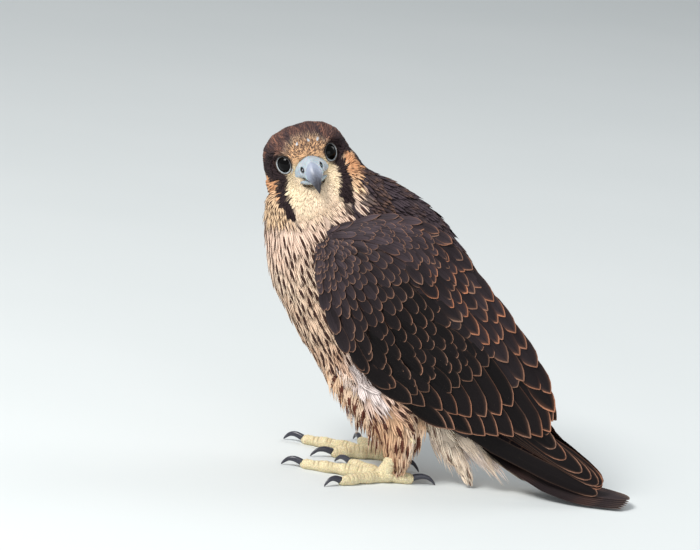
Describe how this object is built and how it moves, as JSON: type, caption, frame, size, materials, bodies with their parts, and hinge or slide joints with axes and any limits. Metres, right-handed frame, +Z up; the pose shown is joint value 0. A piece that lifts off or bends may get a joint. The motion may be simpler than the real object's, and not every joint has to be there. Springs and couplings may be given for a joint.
{
  "type": "young peregrine falcon",
  "caption": "Life-size still model of a recently fledged peregrine falcon standing on its own feet, head turned over its left shoulder and wings folded along the tail.",
  "frame": {"origin": "on the floor, under the middle of the bird's bounding box", "axes": "+Z up. The breast faces -Y and the tail runs towards +Y. +X is the bird's own left side, over which the head is turned."},
  "size_m": [0.1502, 0.302, 0.2564],
  "materials": {
    "dark_plumage": "feather vanes, slightly silky",
    "pale_plumage": "soft feather, matt",
    "head_plumage": "short soft feather, matt",
    "cere_skin": "smooth bare skin",
    "bill_horn": "polished horn, darker at the tip",
    "eye": "wet and glossy",
    "foot_skin": "scaled, satin",
    "claw": "polished horn"
  },
  "bodies": {
    "root": {"cere": "cere_skin", "head": "head_plumage", "left_eye": "eye", "left_hind_claw": "claw", "left_hind_toe": "foot_skin", "left_inner_claw": "claw", "left_inner_toe": "foot_skin", "left_middle_claw": "claw", "left_middle_toe": "foot_skin", "left_outer_claw": "claw", "left_outer_toe": "foot_skin", "left_shank": "foot_skin", "left_thigh": "pale_plumage", "left_wing": "dark_plumage", "lower_bill": "bill_horn", "neck": "pale_plumage", "right_eye": "eye", "right_hind_claw": "claw", "right_hind_toe": "foot_skin", "right_inner_claw": "claw", "right_inner_toe": "foot_skin", "right_middle_claw": "claw", "right_middle_toe": "foot_skin", "right_outer_claw": "claw", "right_outer_toe": "foot_skin", "right_shank": "foot_skin", "right_thigh": "pale_plumage", "right_wing": "dark_plumage", "tail": "dark_plumage", "torso": "pale_plumage", "upper_bill": "bill_horn", "vent_tuft": "pale_plumage"}
  },
  "joints": []
}
